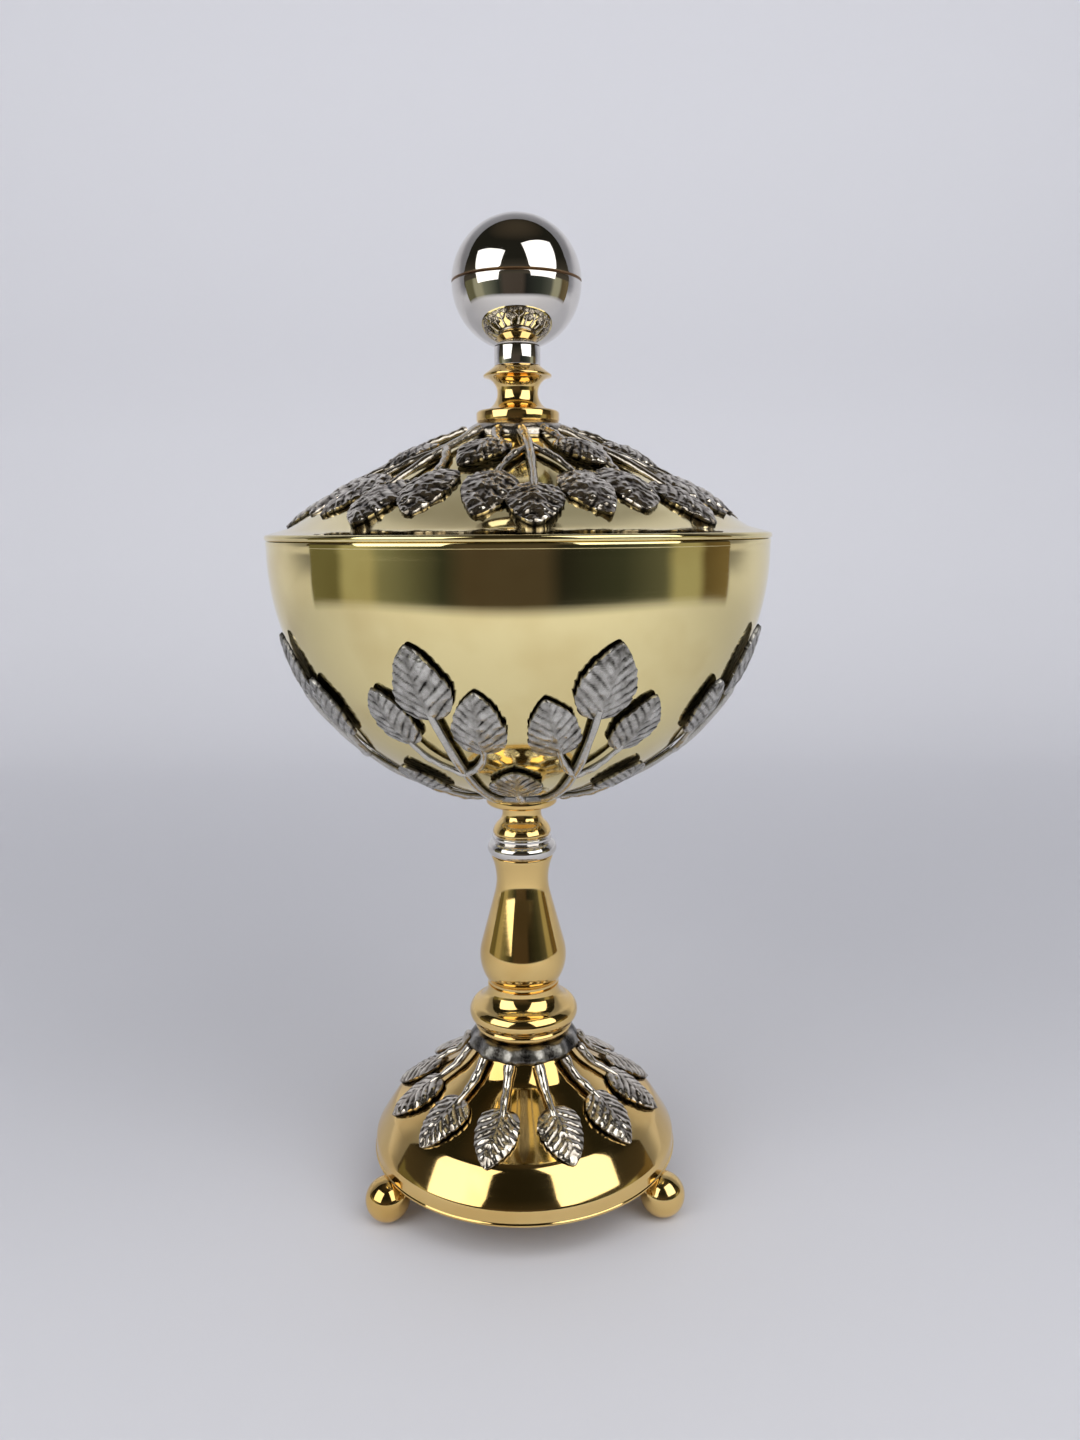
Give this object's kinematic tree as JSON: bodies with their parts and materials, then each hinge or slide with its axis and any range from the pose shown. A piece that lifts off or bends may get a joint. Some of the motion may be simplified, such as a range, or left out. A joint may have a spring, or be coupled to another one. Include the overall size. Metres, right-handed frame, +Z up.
{
  "type": "pyx",
  "caption": "Lidded standing cup of polished brass with applied cast leaves, a turned stem, a domed base on ball feet and a ball finial. The lid lifts off.",
  "frame": {"origin": "on the axis of the cup, on the ground under the ball feet", "axes": "+Z up along the axis of the cup; the picture looks along +Y, so its front faces -Y"},
  "size_m": [0.1268, 0.1268, 0.2549],
  "materials": {
    "pale_brass": "spun and mirror polished, pale lemon gold with fine turning lines",
    "gold_brass": "turned and mirror polished, warm orange gold",
    "nickel": "nickel plated and mirror polished",
    "leaves": "cast, silver plated and darkened, rubbed bright on the veins",
    "fastening": "plain machined steel"
  },
  "bodies": {
    "cup": {"base_dome": "gold_brass", "base_leaf_1": "leaves", "base_leaf_10": "leaves", "base_leaf_11": "leaves", "base_leaf_12": "leaves", "base_leaf_2": "leaves", "base_leaf_3": "leaves", "base_leaf_4": "leaves", "base_leaf_5": "leaves", "base_leaf_6": "leaves", "base_leaf_7": "leaves", "base_leaf_8": "leaves", "base_leaf_9": "leaves", "base_leaf_ring": "leaves", "bowl": "pale_brass", "bowl_leaf_ring": "leaves", "bowl_spray_1": "leaves", "bowl_spray_2": "leaves", "bowl_spray_3": "leaves", "bowl_spray_4": "leaves", "bowl_spray_5": "leaves", "bowl_spray_6": "leaves", "bowl_spray_7": "leaves", "bowl_spray_8": "leaves", "foot_ball_1": "gold_brass", "foot_ball_2": "gold_brass", "foot_ball_3": "gold_brass", "stem_baluster": "gold_brass", "stem_bulb": "gold_brass", "stem_knop": "gold_brass", "stem_ring": "nickel", "tie_bolt": "fastening", "tie_nut": "fastening", "tie_washer": "fastening"},
    "lid": {"ball_lower": "nickel", "ball_sleeve": "fastening", "ball_upper": "nickel", "finial_collar": "nickel", "finial_neck": "gold_brass", "finial_nut": "fastening", "finial_stud": "fastening", "finial_washer": "fastening", "lid_dome": "pale_brass", "lid_leaf_ring": "leaves", "lid_locating_ring": "pale_brass", "lid_spray_1": "leaves", "lid_spray_2": "leaves", "lid_spray_3": "leaves", "lid_spray_4": "leaves", "lid_spray_5": "leaves", "lid_spray_6": "leaves", "lid_spray_7": "leaves", "lid_spray_8": "leaves"}
  },
  "joints": [
    {"name": "lid_lift", "type": "slide", "parent": "cup", "child": "lid", "axis": [0, 0, 1], "range_m": [0, 0.12]}
  ]
}
